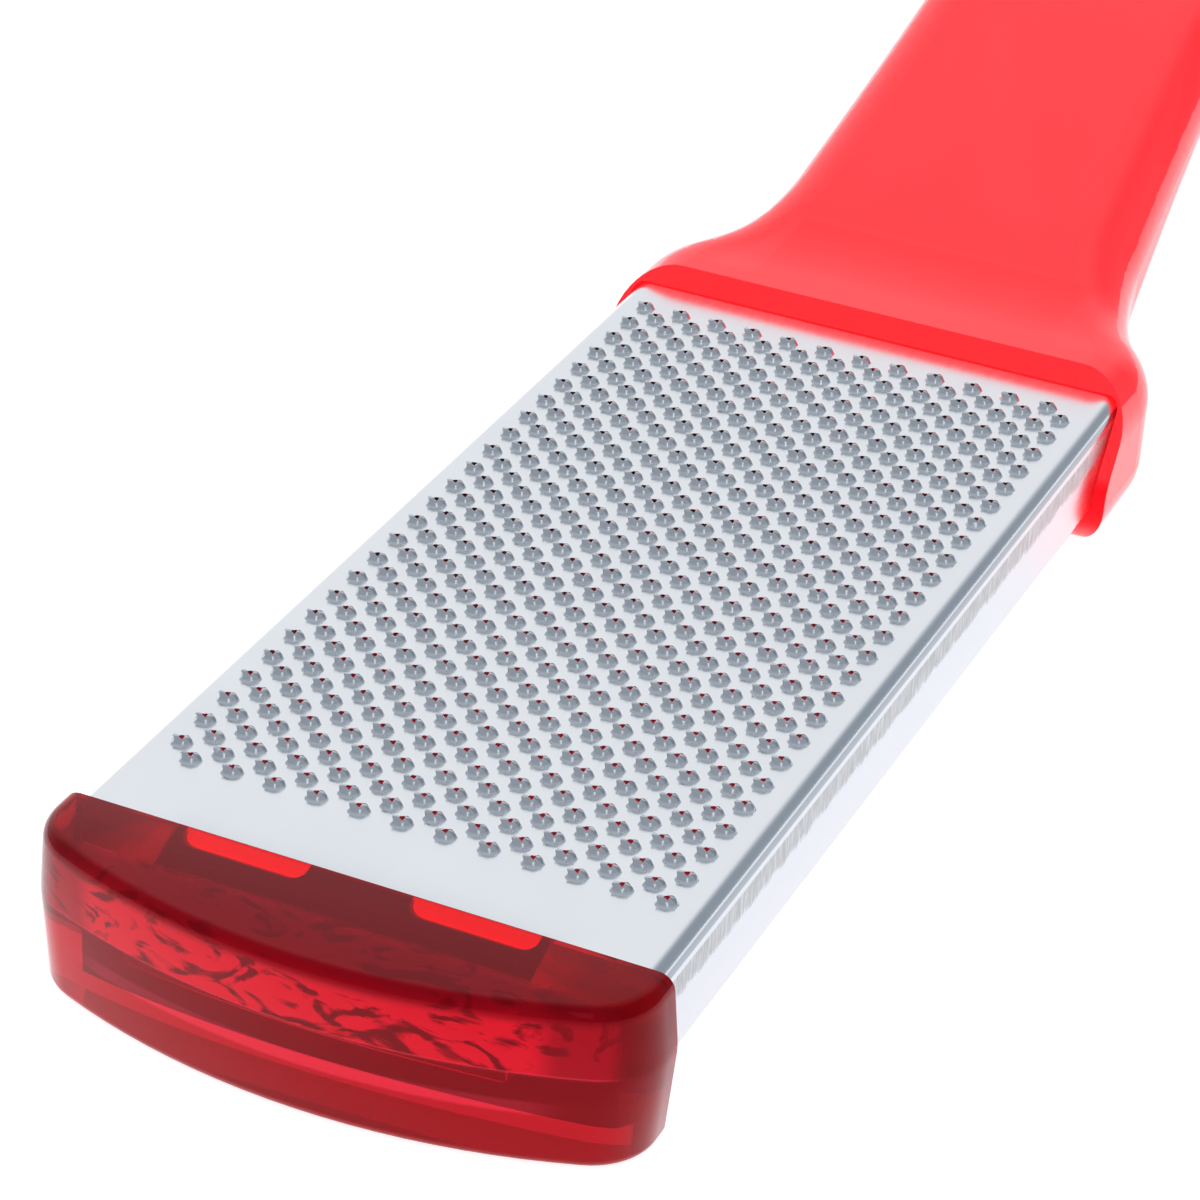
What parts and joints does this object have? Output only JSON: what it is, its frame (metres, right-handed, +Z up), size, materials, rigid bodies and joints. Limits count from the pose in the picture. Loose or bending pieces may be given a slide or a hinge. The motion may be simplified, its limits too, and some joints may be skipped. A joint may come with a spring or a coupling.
{
  "type": "foot file",
  "caption": "Hand file for hard skin: a punched steel rasp plate on a clear red core, with a nose cap, a raised flat handle and a fine emery face below.",
  "frame": {"origin": "on the emery face that the file rests on, below the middle of the field of teeth", "axes": "+X across the file, +Y from the nose cap towards the handle, +Z up through the teeth"},
  "size_m": [0.0428, 0.2289, 0.0291],
  "materials": {
    "stainless_sheet": "bright rolled sheet, scuffed along the bends",
    "clear_red_plastic": "clear, polished",
    "deep_red_plastic": "clear, moulded",
    "white_foam": "closed-cell foam",
    "emery": "fine grit"
  },
  "bodies": {
    "root": {"rasp_plate": "stainless_sheet", "nose_cap": "clear_red_plastic", "handle": "clear_red_plastic", "core": "deep_red_plastic", "foam_tape": "white_foam", "emery_sheet": "emery"}
  },
  "joints": []
}
